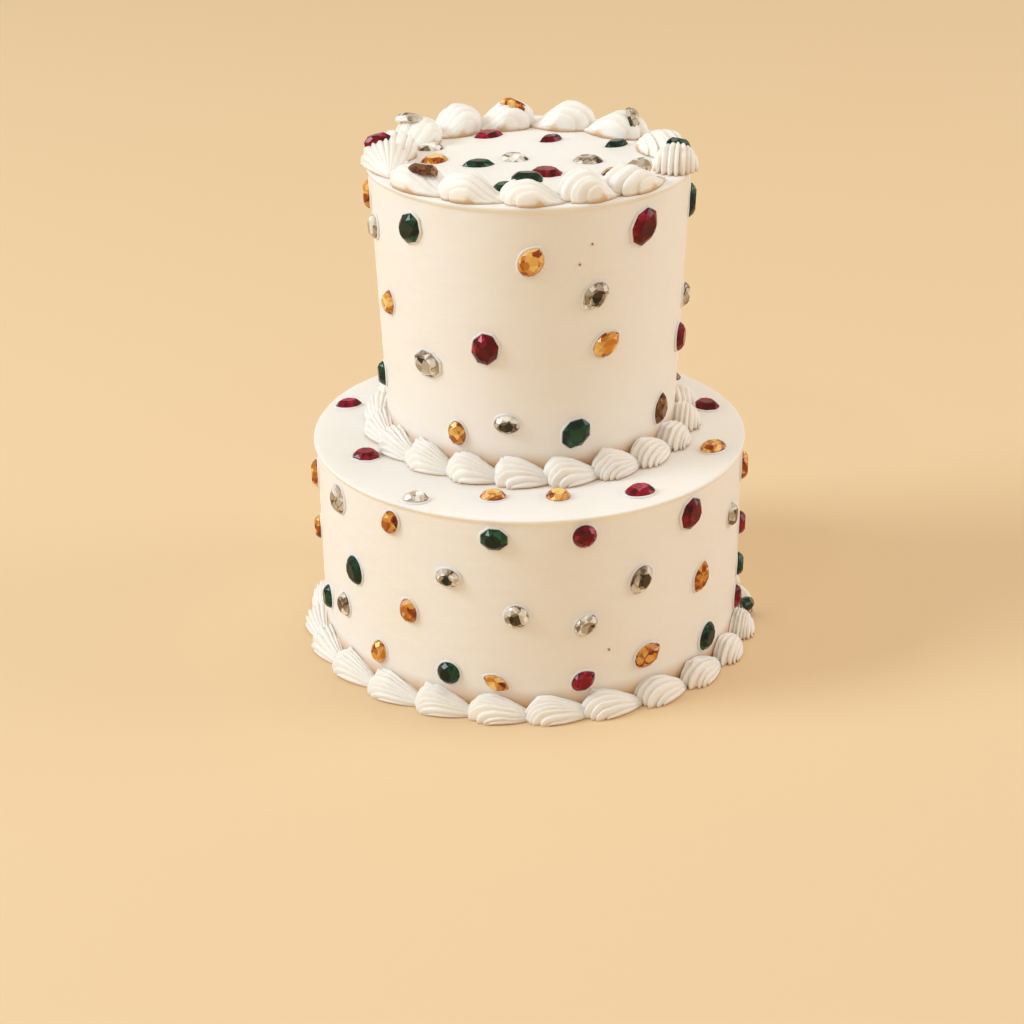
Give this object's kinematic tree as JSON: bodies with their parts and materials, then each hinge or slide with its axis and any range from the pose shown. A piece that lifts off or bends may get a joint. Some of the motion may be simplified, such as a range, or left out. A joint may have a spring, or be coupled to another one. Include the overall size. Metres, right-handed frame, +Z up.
{
  "type": "two-tier birthday cake with piped borders and faceted stones",
  "caption": "Tall iced birthday cake of two round tiers, with piped shell borders round both feet and the top rim and flat-backed faceted stones scattered over it.",
  "frame": {"origin": "centre of the cake's flat underside", "axes": "+Z up through the bottom tier's middle, -Y towards the front; the top tier stands 10.5 mm towards +Y"},
  "size_m": [0.2189, 0.2179, 0.2463],
  "materials": {
    "icing": "smooth ivory buttercream",
    "piped_icing": "piped ivory buttercream",
    "emerald": "faceted, glossy, dark green",
    "ruby": "faceted, glossy, dark red",
    "amber": "faceted, glossy, amber",
    "clear": "faceted, glossy, silver-backed clear",
    "smoky": "faceted, glossy, smoky brown"
  },
  "bodies": {
    "root": {"base_border": "piped_icing", "bottom_tier": "icing", "middle_border": "piped_icing", "rim_border": "piped_icing", "stone_01_clear_oval": "clear", "stone_02_amber_oval": "amber", "stone_03_ruby_marquise": "ruby", "stone_04_emerald_marquise": "emerald", "stone_05_clear_oval": "clear", "stone_06_clear_oval": "clear", "stone_07_ruby_octagon": "ruby", "stone_08_ruby_marquise": "ruby", "stone_09_clear_oval": "clear", "stone_10_smoky_oval": "smoky", "stone_11_emerald_oval": "emerald", "stone_12_clear_oval": "clear", "stone_13_amber_oval": "amber", "stone_14_emerald_marquise": "emerald", "stone_15_clear_oval": "clear", "stone_16_amber_oval": "amber", "stone_17_emerald_octagon": "emerald", "stone_18_amber_pear": "amber", "stone_19_ruby_octagon": "ruby", "stone_20_emerald_oval": "emerald", "stone_21_clear_pear": "clear", "stone_22_ruby_octagon": "ruby", "stone_23_amber_pear": "amber", "stone_24_ruby_oval": "ruby", "stone_25_clear_octagon": "clear", "stone_26_emerald_octagon": "emerald", "stone_27_smoky_marquise": "smoky", "stone_28_ruby_octagon": "ruby", "stone_29_emerald_pear": "emerald", "stone_30_amber_octagon": "amber", "stone_31_clear_pear": "clear", "stone_32_amber_octagon": "amber", "stone_33_emerald_pear": "emerald", "stone_34_clear_octagon": "clear", "stone_35_ruby_octagon": "ruby", "stone_36_amber_marquise": "amber", "stone_37_ruby_oval": "ruby", "stone_38_amber_oval": "amber", "stone_39_amber_oval": "amber", "stone_40_clear_oval": "clear", "stone_41_ruby_octagon": "ruby", "stone_42_amber_oval": "amber", "stone_43_emerald_oval": "emerald", "stone_44_clear_oval": "clear", "stone_45_amber_marquise": "amber", "stone_46_amber_pear": "amber", "stone_47_emerald_oval": "emerald", "stone_48_clear_oval": "clear", "stone_49_amber_octagon": "amber", "stone_50_ruby_oval": "ruby", "stone_51_clear_oval": "clear", "stone_52_emerald_marquise": "emerald", "stone_53_emerald_pear": "emerald", "stone_54_ruby_oval": "ruby", "stone_55_emerald_marquise": "emerald", "top_tier": "icing"}
  },
  "joints": []
}
